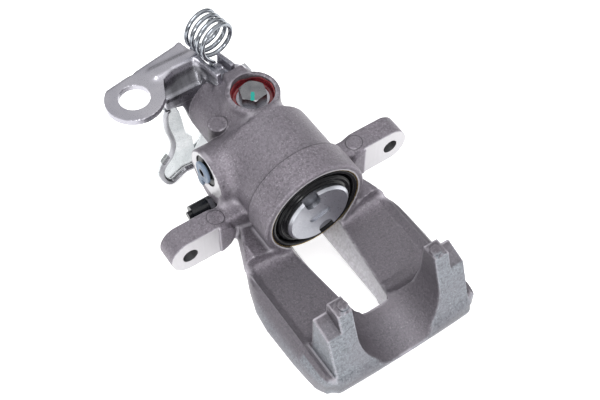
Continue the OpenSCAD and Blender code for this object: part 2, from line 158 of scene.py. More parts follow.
def contour(shape, low, high, step):
    """Vertices and quads of shape's skin inside a box. Each grid edge whose ends lie on
    two sides of the skin gives a crossing with its normal, the slope of the distance;
    each cell's vertex minimises the squared distance to its crossings' planes."""
    axes = [np.arange(a, b + step, step, dtype=np.float32) for a, b in zip(low, high)]
    grid = np.broadcast_to(
        shape(axes[0][:, None, None], axes[1][None, :, None], axes[2][None, None, :]),
        [len(a) for a in axes])
    n = np.array(grid.shape)
    flat_id = lambda i: (i[:, 0] * n[1] + i[:, 1]) * n[2] + i[:, 2]
    unit = np.eye(3, dtype=int)
    crossings, quads = [], []
    for k in range(3):
        a, b = (k + 1) % 3, (k + 2) % 3
        first = [slice(1, -1)] * 3
        second = list(first)
        first[k], second[k] = slice(0, -1), slice(1, None)
        d0, d1 = grid[tuple(first)], grid[tuple(second)]
        at = np.argwhere((d0 < 0) != (d1 < 0))
        start = at + 1 - unit[k]
        v0, v1 = d0[tuple(at.T)], d1[tuple(at.T)]
        p0 = np.stack([axes[i][start[:, i]] for i in range(3)], 1).astype(np.float64)
        point = lambda t: p0 + t[:, None] * step * unit[k]
        t0, t1 = np.zeros(len(v0)), np.ones(len(v0))
        for _ in range(3):
            t = t0 + (t1 - t0) * np.clip(v0 / (v0 - v1), NEAR_END, 1 - NEAR_END)
            v = shape(*point(t).T)
            low_side = (v < 0) == (v0 < 0)
            t0, v0 = np.where(low_side, t, t0), np.where(low_side, v, v0)
            t1, v1 = np.where(low_side, t1, t), np.where(low_side, v1, v)
        crossings.append(point(t0 + (t1 - t0) * v0 / (v0 - v1 + 1e-12)))
        q = np.stack([flat_id(start + da * unit[a] + db * unit[b])
                      for da, db in ((-1, -1), (0, -1), (0, 0), (-1, 0))], 1)
        quads.append(np.where((v0 < 0)[:, None], q, q[:, ::-1]))
    points, quads = np.concatenate(crossings), np.concatenate(quads)
    normals = slope(shape, points)
    used, index = np.unique(quads, return_inverse=True)
    index = index.reshape(quads.shape)
    count = np.bincount(index.ravel(), minlength=len(used))
    add = lambda values: np.stack(
        [sum(np.bincount(index[:, c], weights=values[:, i], minlength=len(used)) for c in range(4))
         for i in range(values.shape[1])], 1)
    middle = add(points) / count[:, None]
    nn = (normals[:, :, None] * normals[:, None, :]).reshape(-1, 9)
    ata = add(nn).reshape(-1, 3, 3)
    along = (normals * points).sum(1)[:, None]
    atb = add(normals * along) - np.einsum("nij,nj->ni", ata, middle)
    ata += np.eye(3) * PULL * count[:, None, None]
    corner = np.stack([used // (n[1] * n[2]), used // n[2] % n[1], used % n[2]], 1)
    base = np.stack([axes[i][corner[:, i]] for i in range(3)], 1)
    verts = middle + np.linalg.solve(ata, atb[:, :, None])[:, :, 0]
    verts = np.clip(verts, base + MARGIN * step, base + (1 - MARGIN) * step)
    return verts, index


def slope(shape, points, h=0.02):
    """Unit normals: how the distance grows along each axis over a short step h."""
    here = shape(*points.T)
    g = np.stack([shape(*(points + h * np.eye(3)[i]).T) - here for i in range(3)], 1)
    return g / np.maximum(np.linalg.norm(g, axis=1), 1e-9)[:, None]


def mesh_piece(name, verts_mm, faces, materials, sharp_deg=34, pick=None, layers=None):
    """A mesh object from arrays, in metres, shaded smooth but for edges sharper than
    sharp_deg. pick gives each face its material, layers are point attributes."""
    mesh = bpy.data.meshes.new(name)
    faces = np.asarray(faces)
    mesh.vertices.add(len(verts_mm))
    mesh.vertices.foreach_set("co", (np.asarray(verts_mm) * 1e-3).astype(np.float32).ravel())
    mesh.loops.add(faces.size)
    mesh.loops.foreach_set("vertex_index", faces.astype(np.int32).ravel())
    mesh.polygons.add(len(faces))
    mesh.polygons.foreach_set("loop_start", np.arange(len(faces), dtype=np.int32) * faces.shape[1])
    for m in materials:
        mesh.materials.append(m)
    if pick is not None:
        mesh.polygons.foreach_set("material_index", pick.astype(np.int32))
    mesh.update(calc_edges=True)
    mesh.validate()
    mesh.polygons.foreach_set("use_smooth", np.ones(len(mesh.polygons), bool))
    mesh.set_sharp_from_angle(angle=math.radians(sharp_deg))
    for key, values in (layers or {}).items():
        layer = mesh.attributes.new(key, "FLOAT", "POINT")
        layer.data.foreach_set("value", np.asarray(values, np.float32))
    o = bpy.data.objects.new(name, mesh)
    bpy.context.scene.collection.objects.link(o)
    print(f"{name}: {len(verts_mm)} points, {len(faces)} faces")
    return o


# %% [markdown]
# ## The casting
# The housing is one aluminium sand casting, blasted and then machined. Its shape below
# follows that order: first every cast lump, joined with the fillets a pattern maker
# would give it, then the cuts of the mill and the drill with hardly any rounding.

# %% Cast shape of the housing
BRIDGE_PLAN = [(0, 36), (20, 36), (33, 20), (38, 8), (44, -6), (48, -18), (49.5, -30), (48.7, -52),
               (46.9, -67.5), (44.1, -74), (37, -77.4), (17, -79), (0, -79.2)]
BRIDGE_SECTION = [(0, -24), (9, -23.6), (20, -22.6), (32, -21.2), (38, -20.6), (42.3, -17.9),
                  (44.6, -18.6), (48.3, -24.4), (52, -29), (48, -32), (30, -35.5), (0, -38)]
BRIDGE_SIDE = [(40, -10), (40, -30), (20, -40), (-48, -40), (-68, -34.5), (-77.5, -30),
               (-79.5, -26), (-79.5, -10)]
FINGER_SIDE = [(-54, 14.5), (-63, 14.5), (-77.3, -26), (-77, -28.5), (-74.5, -30.5), (-66, -35),
               (-44, -37), (-44, -23.2), (-47.5, -22.2), (-51.5, -18.8), (-54, -13)]
TIP_STEP = [(-53, 8.5), (-67, 4.2), (-67, 20), (-53, 20)]
SHOULDER = [(10, -25), (15, -22.5), (27, -16), (36, -12.5), (40, -14), (43, -19), (30, -27)]
WINDOW_PLAN = [(0, 20), (16.5, 20), (15, 0), (9.2, -49), (7.5, -51.5), (0, -51.5)]
WINDOW_SECTION = [(0, -16), (16.5, -18), (15, -24), (7, -40), (7, -44), (0, -44)]
BOSS = (4.2, 63.3)
PORT = (47.5, 5.5)
BLEED = (43.0, -17.0)
EAR = (62.0, -14.0)
PEG = (26.6, -59.5)
MOON_R = 23.7
MOON_TILT = math.radians(12)


def cast_body(x, y, z):
    """All cast lumps joined: the barrel and the mechanism housing, the bridge with its
    fingers, the ears and the bosses."""
    side, rho = np.abs(x), np.hypot(x, z)
    # flange ring round the mouth, with its bevel, then barrel and mechanism housing
    ring = np.maximum(bar(x, z, y, 29.5, -3, 17, 0.7), -y)
    f = both(ring, (rho - y - 28.6) * 0.7071, 0.3)
    f = join(f, bar(x, z, y, 27.4, 4, 50, 3.5), 0.7)
    f = join(f, bar(x, z, y, 21, 40, 90, 1), 5)
    # bridge: seen from above, along the piston and from the side
    plan = outline(side, y, BRIDGE_PLAN[1:-1] + [(-9, -79.2), (-9, 36)])
    section = outline(side, z, BRIDGE_SECTION[1:-1] + [(-9, -38), (-9, -24)])
    f = join(f, both(both(plan, section, 2.2), outline(y, z, BRIDGE_SIDE), 3), 4)
    # shoulder from the barrel down to the two arms
    shoulder = carried(outline(side, z, SHOULDER), y, 0.6, 20, 0.5)
    f = join(f, both(shoulder, plan, 1), 5)
    # fingers, each with a peg on a low pad
    f = join(f, carried(outline(y, z, FINGER_SIDE), x, -39.5, 39.5, 0.7), 3)
    f = join(f, bar(side - PEG[0], y - PEG[1], z, 4.2, 8, 14.9, 0.3), 0.8)
    f = join(f, bar(side - PEG[0], y - PEG[1], z, 2.6, 8, 16.3, 0.6), 0.5)
    # ears: a machined lobe on a plainer arm
    lobe = np.hypot(np.maximum(np.maximum(46 - side, side - EAR[0]), 0), z - EAR[1]) - 10.4
    f = join(f, block(side, y, z, (8, 21.3, -23.4), (50, 32.7, -5.2), 2.2), 3.5)
    f = join(f, carried(lobe, y, 18.7, 32.7, 1.2), 0.8)
    f = join(f, bar(side - 42.7, y - 26.5, z, 4.5, -9, -4.3, 0.4), 0.7)
    # bosses of the lock bolt, the hose port and the bleed screw
    f = join(f, bar(x - BOSS[0], y - BOSS[1], z, 14.2, 0, 26, 0.9), 5)
    f = join(f, block(x, y, z, (-9, 66, 5), (2, 80.6, 23), 1.6), 4)
    f = join(f, block(x, y, z, (-3.2, 66, 5), (9.4, 81.6, 27.4), 1.6), 2.5)
    f = join(f, bar(y - 47, z - 0.5, x, 15.5, -35, 0, 1.2), 7)
    f = join(f, bar(y - BLEED[0], z - BLEED[1], x, 7, -33, 0, 1), 4)
    return join(f, bar(x + 18, y - 62.5, z, 5.2, 0, 16.2, 0.5), 1.0)


def machined(x, y, z):
    """The cast body after the mill and the drill."""
    side, rho = np.abs(x), np.hypot(x, z)
    f = cast_body(x, y, z)
    f = cut(f, both(outline(side, y, WINDOW_PLAN[1:-1] + [(-9, -51.5), (-9, 20)]),
                    outline(side, z, WINDOW_SECTION[1:-1] + [(-9, -44), (-9, -16)])), 1.2)
    f = cut(f, carried(outline(y, z, TIP_STEP), side, 31.8, 60), 0.5)
    # half-moon: a round gap that leans outwards
    up = -math.sin(MOON_TILT) * (y + 46) + math.cos(MOON_TILT) * (z - 2.5)
    moon = np.where(up > 0, side, np.hypot(x, up)) - MOON_R
    f = cut(f, both(moon, y + 46), 0.9)
    # one stepped bore from the mouth to the rear face
    for radius, end in ((26.05, 7), (19, 46), (15, 76), (9, 95)):
        f = cut(f, np.maximum(np.maximum(rho - radius, -1 - y), y - end))
    f = cut(f, np.maximum(rho - 11.5, 84 - y))
    f = np.maximum(f, y - 88)
    # ears: front faces and bolt holes
    f = cut(f, np.maximum(np.maximum(y - 19.7, 45 - side), 10 - y))
    f = cut(f, np.maximum(np.hypot(side - EAR[0], z - EAR[1]) - 4.2, np.abs(y - 26) - 9))
    # recess and thread of the lock bolt
    b = np.hypot(x - BOSS[0], y - BOSS[1])
    f = cut(f, np.maximum(b - 11.6, 19.5 - z), 0.4)
    f = cut(f, np.maximum(b - 4.1, 5 - z))
    # hose port and bleed thread
    p = np.hypot(y - PORT[0], z - PORT[1])
    f = cut(f, np.maximum(p - 8.8, x + 33), 0.3)
    f = cut(f, np.maximum(p - 5, x + 22))
    return cut(f, np.maximum(np.hypot(y - BLEED[0], z - BLEED[1]) - 3.5, x + 21))


# %% [markdown]
# ## Finishes
# Every finish is a small tree of procedural nodes on object coordinates, so it sits
# still on the metal and needs no image files. Two things repeat in all of them: a grain
# that moves the colour and the roughness a little, and the same grain as bump. Where a
# colour follows the shape, the mesh carries a mask for it. On the casting one mask is
# high in corners and carries painted shade, "edge" is high on outer edges and carries a
# painted highlight, one on the outer faces of the fingers makes them paler, which is
# painted light, and cooler, "shade" carries painted shade in the hollows, and "trim" is
# on the walls of the window. The other pieces have one mask each: for painted shade and
# dark reflection on zinc, for paint, or for a black collar and painted shade in a hole.

# %% Node helpers
class Nodes:
    """A tree of shader nodes under construction, with one method for each kind it uses."""

    def __init__(self, tree, coordinates):
        self.tree = tree
        self.place = self.node("ShaderNodeTexCoord").outputs[coordinates]

    def node(self, kind, **settings):
        made = self.tree.nodes.new(kind)
        for key, value in settings.items():
            setattr(made, key, value)
        return made

    def link(self, source, target):
        self.tree.links.new(source, target)

    def noise(self, per_mm, detail=3.0, rough=0.55, stretch=None):
        """Noise with about per_mm lumps a millimetre; stretch scales the axes."""
        n = self.node("ShaderNodeTexNoise")
        n.inputs["Scale"].default_value = per_mm * 1000
        n.inputs["Detail"].default_value = detail
        n.inputs["Roughness"].default_value = rough
        place = self.place
        if stretch:
            m = self.node("ShaderNodeMapping")
            m.inputs["Scale"].default_value = stretch
            self.link(place, m.inputs["Vector"])
            place = m.outputs["Vector"]
        self.link(place, n.inputs["Vector"])
        return n.outputs["Fac"]

    def attribute(self, name):
        return self.node("ShaderNodeAttribute", attribute_name=name).outputs["Fac"]

    def spread(self, value, low, high, to_low=0.0, to_high=1.0, **settings):
        """A value mapped from one range to another, clamped."""
        n = self.node("ShaderNodeMapRange", **settings)
        limits = {"From Min": low, "From Max": high, "To Min": to_low, "To Max": to_high}
        for key, v in limits.items():
            n.inputs[key].default_value = v
        self.link(value, n.inputs["Value"])
        return n.outputs["Result"]

    def blend(self, share, a, b):
        """Two colours mixed by a share; each is a colour or another node's output."""
        n = self.node("ShaderNodeMix", data_type="RGBA")
        self.link(share, n.inputs["Factor"])
        for socket, colour in ((n.inputs[6], a), (n.inputs[7], b)):
            if isinstance(colour, tuple):
                socket.default_value = (*colour, 1)
            else:
                self.link(colour, socket)
        return n.outputs[2]

    def maths(self, operation, *values):
        """One operation on outputs or plain numbers."""
        n = self.node("ShaderNodeMath", operation=operation)
        for socket, value in zip(n.inputs, values):
            if isinstance(value, float):
                socket.default_value = value
            else:
                self.link(value, socket)
        return n.outputs["Value"]

    def axes(self):
        """The coordinates X, Y and Z, each on its own."""
        n = self.node("ShaderNodeSeparateXYZ")
        self.link(self.place, n.inputs["Vector"])
        return [n.outputs[axis] for axis in "XYZ"]

    def distance(self, u, v, centre=(0, 0)):
        """How far a point lies from a centre in the plane of u and v, in metres."""
        plane = self.node("ShaderNodeCombineXYZ")
        self.link(u, plane.inputs["X"])
        self.link(v, plane.inputs["Y"])
        n = self.node("ShaderNodeVectorMath", operation="DISTANCE")
        self.link(plane.outputs["Vector"], n.inputs[0])
        n.inputs[1].default_value = (*centre, 0)
        return n.outputs["Value"]


class Finish(Nodes):
    """A material's nodes, on object coordinates."""

    def __init__(self, name, metallic, **constants):
        self.material = bpy.data.materials.new(name)
        self.material.use_nodes = True
        super().__init__(self.material.node_tree, "Object")
        self.shader = self.tree.nodes["Principled BSDF"]
        self.shader.inputs["Metallic"].default_value = metallic
        for key, value in constants.items():
            self.shader.inputs[key.replace("_", " ")].default_value = value

    def done(self, colour, roughness=None, *bumps):
        """The material with its colour and roughness. Each bump is (height, millimetres),
        one on top of the other."""
        self.link(colour, self.shader.inputs["Base Color"])
        if roughness:
            self.link(roughness, self.shader.inputs["Roughness"])
        normal = self.shader.inputs["Normal"]
        for height, mm in reversed(bumps):
            n = self.node("ShaderNodeBump")
            n.inputs["Distance"].default_value = mm * 1e-3
            n.inputs["Strength"].default_value = 1.0
            self.link(height, n.inputs["Height"])
            self.link(n.outputs["Normal"], normal)
            normal = n.inputs["Normal"]
        return self.material


# %% [markdown]
# ### Blasted aluminium
# Shot blasting leaves thousands of dull dents of half a millimetre. From a metre away
# they read as a violet grey mottled dark and light. The outer faces of the fingers are
# paler, which is painted light, with a cool tone. Three round ejector marks and the
# parting of the flange show as thin dark lines, too fine for the mesh, so they are drawn
# from the distance to them. So is the bright bevel at the edge of the mouth.

# %% Cast finish
MARKS = [(-42.7, 26.5, 4.5), (42.7, 26.5, 4.5), (-18.0, 62.5, 5.2)]   # x, y, radius
MARK_LINE, PARTING_LINE = 0.00042, 0.0007   # half widths in metres
PARTING_Y = 16.6
LIP_R, LIP_FADE = 0.0266, 0.0269   # the bright bevel ends between these radii


def scaled(colour, factor):
    """A colour made darker or lighter."""
    return tuple(c * factor for c in colour)


def cast_finish(name, tones, painted_light_cool_tones):
    """Blasted casting: tones are dark, middle and light, mixed by noise of two sizes;
    a mask moves them to a paler and cooler set, whose paleness is painted light."""
    m = Finish(name, 0.5)
    grit, mottle, slow = m.noise(1.2, 3, 0.8), m.noise(0.75, 3, 0.6), m.noise(0.05, 2)
    dark, middle, light = tones
    sets = []
    for low, mid, high in (tones, painted_light_cool_tones):
        tone = m.blend(m.spread(mottle, 0.34, 0.58), low, mid)
        tone = m.blend(m.spread(grit, 0.55, 0.75, 0.0, 0.8), tone, high)
        sets.append(m.blend(m.spread(grit, 0.27, 0.40, 0.6, 0.0), tone, scaled(low, 0.6)))
    tone = m.blend(m.attribute("painted_light_cool"), *sets)
    dull = tuple(c * k for c, k in zip(middle, (0.82, 0.86, 0.84)))
    tone = m.blend(m.spread(slow, 0.38, 0.66, 0.0, 0.4), tone, dull)
    # painted shade in the hollows and corners, and a painted highlight on outer edges
    for mask, start, end, share, colour in (("shade", 0.0, 1.0, 0.55, scaled(dark, 0.62)),
                                            ("painted_cavity_shade", 0.25, 1.0, 0.5, scaled(dark, 0.5)),
                                            ("edge", 0.2, 0.85, 0.65, scaled(light, 1.3))):
        tone = m.blend(m.spread(m.attribute(mask), start, end, 0.0, share), tone, colour)
    trimmed = m.blend(m.spread(mottle, 0.35, 0.65), (0.40, 0.39, 0.41), (0.58, 0.57, 0.60))
    tone = m.blend(m.attribute("trim"), tone, trimmed)
    x, y, z = m.axes()
    on_top = m.spread(z, -0.0065, -0.0055)
    lines = [(m.distance(x, y, (mx * 1e-3, my * 1e-3)), r * 1e-3, MARK_LINE) for mx, my, r in MARKS]
    for value, at, width in lines + [(y, PARTING_Y * 1e-3, PARTING_LINE)]:
        off = m.maths("ABSOLUTE", m.maths("SUBTRACT", value, at))
        share = m.maths("MULTIPLY", m.spread(off, width * 0.4, width, 0.62, 0.0), on_top)
        tone = m.blend(share, tone, scaled(dark, 0.3))
    lip = m.maths("MULTIPLY", m.spread(m.distance(x, z), LIP_R, LIP_FADE, 0.75, 0.0),
                  m.spread(y, 0.0008, 0.0012, 1.0, 0.0))
    lip = m.maths("MULTIPLY", lip, m.spread(y, -0.0012, -0.0008))
    return m.done(m.blend(lip, tone, (0.52, 0.51, 0.53)), m.spread(mottle, 0.3, 0.7, 0.36, 0.58),
                  (mottle, 0.16), (grit, 0.16))


# the second set of tones is paler, as painted light, and cooler
cast = cast_finish("blasted_casting",
                   ((0.110, 0.101, 0.115), (0.192, 0.171, 0.200), (0.45, 0.43, 0.47)),
                   ((0.10, 0.108, 0.122), (0.20, 0.215, 0.24), (0.46, 0.48, 0.51)))


def mill_finish(name, base, lines_mm, metallic=0.6):
    """A milled face: near white, with faint tool lines and a few darker stains."""
    m = Finish(name, metallic)
    lines = m.noise(0.25 / lines_mm, 2, 0.5, (1, 1, 0.04))
    tone = m.blend(m.spread(lines, 0.3, 0.7, 0.0, 0.5), scaled(base, 0.86), base)
    tone = m.blend(m.spread(m.noise(0.12, 3), 0.55, 0.8, 0.0, 0.3), tone, scaled(base, 0.72))
    return m.done(tone, m.spread(lines, 0.2, 0.8, 0.30, 0.46), (lines, 0.015))


milled = mill_finish("milled_face", (0.53, 0.52, 0.54), 0.4)
# bore walls take a darker copy of the milled finish: painted shade
bored = mill_finish("bored_wall_shaded", (0.24, 0.24, 0.25), 0.3, 0.8)

# %% [markdown]
# ### Plated steel, chrome, rubber, plastic and lacquer
# Bright zinc is a satin mirror with slow cloudy tints of lilac. The piston is plated too,
# and looks satin on its face, with painted shade in its pockets. Rubber is almost black,
# and what one sees of it is its sheen.

# %% Other finishes
def plated_finish(name, base, tint, rough, cloud=0.05, dents=0.01, paint=None, stain=None,
                  pocket_shade_y=None):
    """Plated metal: a slow tint, fine handling marks in the roughness, faint dents. A
    paint colour covers the metal where the mesh's paint mask is high, and a second mask
    darkens it with painted shade and dark reflection. Behind a given plane across Y it
    darkens as painted shade in pockets."""
    m = Finish(name, 1.0)
    slow, fine = m.noise(cloud, 3), m.noise(1.2, 4, 0.65)
    tone = m.blend(m.spread(slow, 0.35, 0.68), base, tint)
    tone = m.blend(m.spread(fine, 0.55, 0.8, 0.0, 0.35), tone, scaled(base, 0.55))
    # painted shade in the pockets behind the plane
    if pocket_shade_y:
        deep = m.spread(m.axes()[1], pocket_shade_y + 0.0003, pocket_shade_y + 0.0024, 0.0, 0.82)
        tone = m.blend(deep, tone, scaled(tint, 0.3))
    # painted shade and dark reflection where the mask is high, in soft streaks
    if stain:
        streaks = m.spread(m.noise(0.12, 2, 0.5, (1, 0.3, 0.3)), 0.4, 0.65)
        tone = m.blend(m.spread(m.attribute("stain"), 0.2, 0.8, 0.0, 0.95), tone,
                       m.blend(streaks, stain, scaled(stain, 2.6)))
    if paint:
        mask = m.spread(m.attribute("paint"), 0.3, 0.6)
        tone = m.blend(mask, tone, paint)
        m.link(m.spread(mask, 0.0, 1.0, 1.0, 0.0), m.shader.inputs["Metallic"])
    return m.done(tone, m.spread(fine, 0.3, 0.75, rough * 0.8, rough * 1.5),
                  (fine, dents), (slow, dents * 6))


def moulded_finish(name, base, light, rough, grain, dents, seal=None, **constants):
    """A moulded surface: a little lighter where it bloomed, with a fine grain, and a
    second colour where a mask of the mesh is high: on the plug, a black collar, and a
    black hole wall as painted shade."""
    m = Finish(name, 0.0, **constants)
    fine, slow = m.noise(grain, 3), m.noise(0.15, 2)
    tone = m.blend(m.spread(slow, 0.4, 0.75), base, light)
    if seal:
        tone = m.blend(m.spread(m.attribute("seal"), 0.4, 0.6), tone, seal)
    return m.done(tone, m.spread(fine, 0.3, 0.7, rough * 0.8, rough * 1.25), (fine, dents))


# on the bracket's web and foot, painted shade and dark reflection
zinc = plated_finish("bright_zinc", (0.46, 0.45, 0.49), (0.36, 0.355, 0.40), 0.28,
                     stain=(0.10, 0.10, 0.11))
zinc_dull = plated_finish("dull_zinc", (0.50, 0.50, 0.52), (0.36, 0.37, 0.40), 0.34, 0.12, 0.02)
# on the lever's rolled rim, a painted dark reflection
lever_zinc = plated_finish("lever_zinc", (0.66, 0.68, 0.69), (0.48, 0.51, 0.52), 0.22, 0.09, 0.01,
                           stain=(0.13, 0.13, 0.14))
spring_steel = plated_finish("bright_spring", (0.32, 0.34, 0.37), (0.21, 0.225, 0.25), 0.11, 0.15,
                             0.003)
# the piston's pockets take painted shade
chrome = plated_finish("piston_chrome", (0.52, 0.53, 0.57), (0.40, 0.41, 0.45), 0.30, 0.05, 0.004,
                       pocket_shade_y=-0.0035)
steel = plated_finish("turned_steel", (0.42, 0.42, 0.44), (0.30, 0.30, 0.32), 0.32, 0.1, 0.01)
dark_steel = plated_finish("black_steel", (0.07, 0.07, 0.08), (0.12, 0.12, 0.13), 0.40, 0.1, 0.01)
ground_steel = plated_finish("ground_steel", (0.66, 0.67, 0.69), (0.60, 0.60, 0.62), 0.12, 0.1,
                             0.002)
brass = plated_finish("drawn_brass", (0.58, 0.44, 0.20), (0.44, 0.32, 0.14), 0.26, 0.1, 0.01)
rubber = moulded_finish("boot_rubber", (0.004, 0.004, 0.0045), (0.007, 0.007, 0.008), 0.16, 0.6,
                        0.01, Specular_IOR_Level=0.15)
cap_rubber = moulded_finish("cap_rubber", (0.004, 0.005, 0.007), (0.010, 0.011, 0.013), 0.22, 0.8,
                            0.02, Specular_IOR_Level=0.3)
# black on the collar, and black in the hole as painted shade
plastic = moulded_finish("plug_plastic", (0.13, 0.17, 0.23), (0.19, 0.23, 0.30), 0.36, 0.9, 0.02,
                         seal=(0.002, 0.002, 0.003), Specular_IOR_Level=0.2)
lacquer = moulded_finish("red_lacquer", (0.085, 0.006, 0.010), (0.25, 0.03, 0.035), 0.22, 0.35,
                         0.12, Coat_Weight=0.4)
bolt_zinc = plated_finish("bolt_zinc", (0.25, 0.25, 0.26), (0.15, 0.155, 0.165), 0.30, 0.12, 0.02,
                          paint=(0.0, 0.24, 0.20))
print(len(bpy.data.materials), "materials")

# %% [markdown]
# ### Which node gets which finish
# The frame's nodes that stay in sight keep their own shape and only change material.

# %% Finish the frame's own nodes
FINISHED = (   # finish and its nodes
    (cast, "caliper_housing"), (chrome, "piston"), (lever_zinc, "park_lever"),
    (rubber, "piston_seal shaft_seal dust_boot"), (cap_rubber, "bleed_cap"),
    (brass, "boot_ring ball_cage thrust_washer shaft_bush"),
    (steel, "adjuster_nut adjuster_spindle lever_shaft"),
    (ground_steel, "nut_bearing ramp_plate ramp_balls"),
    (spring_steel, "nut_spring spindle_spring return_spring"),
    (dark_steel, "nut_circlip cage_circlip bleed_screw"),
    (zinc, "lever_washer lock_washer cable_bracket"),
    (zinc_dull, "spring_cage lever_nut bracket_screws lock_bolt"),
    (plastic, "port_plug"), (lacquer, "boss_sealant"))
for finish, names in FINISHED:
    for name in names.split():
        NODES[name].data.materials.clear()
        NODES[name].data.materials.append(finish)
print("finished", sum(len(names.split()) for _, names in FINISHED), "nodes")

# %% [markdown]
# ### The casting's mesh and its masks
# Skin that is milled or bored has a sharp border, so it is chosen face by face, from
# where a face lies and which way it looks. Painted shade and painted highlights fade
# out, so they are values on the points. A cavity is a point whose skin comes near again
# a little way outside it, and gets painted shade; an edge is one whose skin is near
# again inside, and gets a painted highlight.

# %% Build the casting
STEP = 1.1
CAVITY_MM, EDGE_HIGHLIGHT_MM = 3.0, 1.2   # how far out and in the masks look
verts, quads = contour(machined, (-74.4, -81, -41.6), (74.4, 90, 31), STEP)
normals = slope(machined, verts, 0.15)
# painted shade: high at points in corners, where shade gathers
painted_cavity_shade = np.clip((CAVITY_MM - machined(*(verts + CAVITY_MM * normals).T)) / CAVITY_MM, 0, 1)
# painted highlight: high at points on outer edges
edge = np.clip((EDGE_HIGHLIGHT_MM + machined(*(verts - EDGE_HIGHLIGHT_MM * normals).T)) / EDGE_HIGHLIGHT_MM, 0, 1)
print("casting box", verts.min(0).round(1), verts.max(0).round(1))

# %% Choose milled and bored faces
BLASTED, MILLED, BORED = range(3)
EAR_FACE_Y, REAR_FACE_Y, PORT_FACE_X, LOOKS = 19.7, 87.7, -35, 0.9
corners = verts[quads]
facing = np.cross(corners[:, 2] - corners[:, 0], corners[:, 3] - corners[:, 1])
facing /= np.maximum(np.linalg.norm(facing, axis=1), 1e-9)[:, None]
left, back = -facing[:, 0], facing[:, 1]
cx, cy, cz = corners.mean(1).T
side, rho = np.abs(cx), np.hypot(cx, cz)
bolt = np.hypot(cx - BOSS[0], cy - BOSS[1])
port = np.hypot(cy - PORT[0], cz - PORT[1])
ear = np.hypot(side - EAR[0], cz - EAR[1])
off_port_face = np.abs(cx - PORT_FACE_X)
bore = np.select([cy < 7.2, cy < 46.2, cy < 76.2], [26.05, 19, 15], 9)
kind = np.full(len(quads), BLASTED)
for where, finish in (
        ((np.abs(cy - EAR_FACE_Y) < 0.25) & (side > 45) & (-back > LOOKS), MILLED),
        ((cy > -54.4) & (cy < -53) & (back > LOOKS) & (cz > -16), MILLED),
        ((cy > REAR_FACE_Y) & (back > LOOKS), MILLED),
        ((left > LOOKS) & (off_port_face < 0.3) & (port < 15), MILLED),
        ((port < 9.2) & (cx < -20) & (cx > -35.6) & (off_port_face > 0.3), BORED),
        ((bolt < 11.8) & (cz > 4) & (cz < 25.4), BORED),
        ((ear < 4.3) & (cy > 19) & (cy < 33), BORED),
        ((rho < bore + 0.2) & (cy > 0.1), BORED)):
    kind[where] = finish
print("milled and bored faces:", (kind == MILLED).sum(), (kind == BORED).sum())


# %% Masks on the casting's points
def ramp(value, low, high):
    """From 0 at low to 1 at high, straight in between."""
    return np.clip((value - low) / (high - low), 0, 1)


vx, vy, vz = np.abs(verts[:, 0]), verts[:, 1], verts[:, 2]
nx, ny, nz = np.abs(normals[:, 0]), normals[:, 1], np.abs(normals[:, 2])
# paler painted light with a cooler tone: the fingers' outward faces, the arms' flanks and, less so,
# the outer rim
outward = ramp(-ny, 0.15, 0.55) * ramp(-vy, 56, 60) * ramp(vz, -33, -30)
flank = ramp(nx, 0.5, 0.8) * ramp(-vy, 53.5, 56) * ramp(vx, 37.5, 39) * ramp(vz, -27, -22)
outer_rim = ramp(vx, 45.5, 48) * ramp(-vy, 0, 14)
painted_light_cool = np.maximum(np.maximum(outward, flank), 0.75 * outer_rim)
# shade: the hollows, the rear and the crease where the fingers leave the bridge
hollows = ramp(-vy, 1, 9) * (1 - painted_light_cool)
rear = 0.4 * ramp(vy, 48, 60)
crease = np.clip(1 - np.abs(vz + 25.5 - 0.03 * vx) / 4.5, 0, 1) * outward
shade = np.maximum(np.maximum(hollows, rear), crease)
trim = (ramp(17.8 - vx, 0, 0.8) * ramp(-vy, -6, -4) * ramp(vy, -53, -51.5)
        * ramp(0.85 - nz, 0, 0.25) * ramp(-vz, 22.5, 24.5))
casting = mesh_piece("casting", verts, quads, [cast, milled, bored], pick=kind,
                     layers={"painted_cavity_shade": painted_cavity_shade, "edge": edge, "painted_light_cool": painted_light_cool,
                             "shade": shade * (1 - trim), "trim": trim})
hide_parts("caliper_housing")
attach(casting, "housing")

# %% [markdown]
# ## Dust boot
# The boot is moulded rubber: a stiff bead in the housing, one deep fold, and a lip that
# sits in the piston's groove. It is round all over, so a profile turned about the piston
# axis gives its exact shape; a smooth curve through a few points rounds the folds as the
# mould does. The fold has to follow the piston, so the boot is made as two rings that
# meet on its crest.

# %% Turn a closed profile
def smooth_loop(points, per_side, closed=True):
    """Catmull-Rom curve: between b and c the point is half of
    2b + (c - a)t + (2a - 5b + 4c - d)t^2 + (3b - a - 3c + d)t^3."""
    p = np.array(points, float)
    if closed:
        a, b, c, d = (np.roll(p, k, 0) for k in (1, 0, -1, -2))
    else:
        q = np.concatenate([2 * p[:1] - p[1:2], p, 2 * p[-1:] - p[-2:-1]])
        a, b, c, d = q[:-3], q[1:-2], q[2:-1], q[3:]
    t = (np.arange(per_side) / per_side)[None, :, None]
    a, b, c, d = (k[:, None, :] for k in (a, b, c, d))
    line = 0.5 * (2 * b + (c - a) * t + (2 * a - 5 * b + 4 * c - d) * t ** 2
                  + (3 * b - a - 3 * c + d) * t ** 3)
    line = line.reshape(-1, p.shape[1])
    return line if closed else np.concatenate([line, p[-1:]])


def quad_rows(rows, columns, closed):
    """Quads between neighbouring rings of points; closed joins the last to the first."""
    i, j = np.meshgrid(np.arange(rows if closed else rows - 1), np.arange(columns), indexing="ij")
    i2, j2 = (i + 1) % rows * columns, (j + 1) % columns
    i = i * columns
    return np.stack([i + j, i + j2, i2 + j2, i2 + j], -1).reshape(-1, 4)


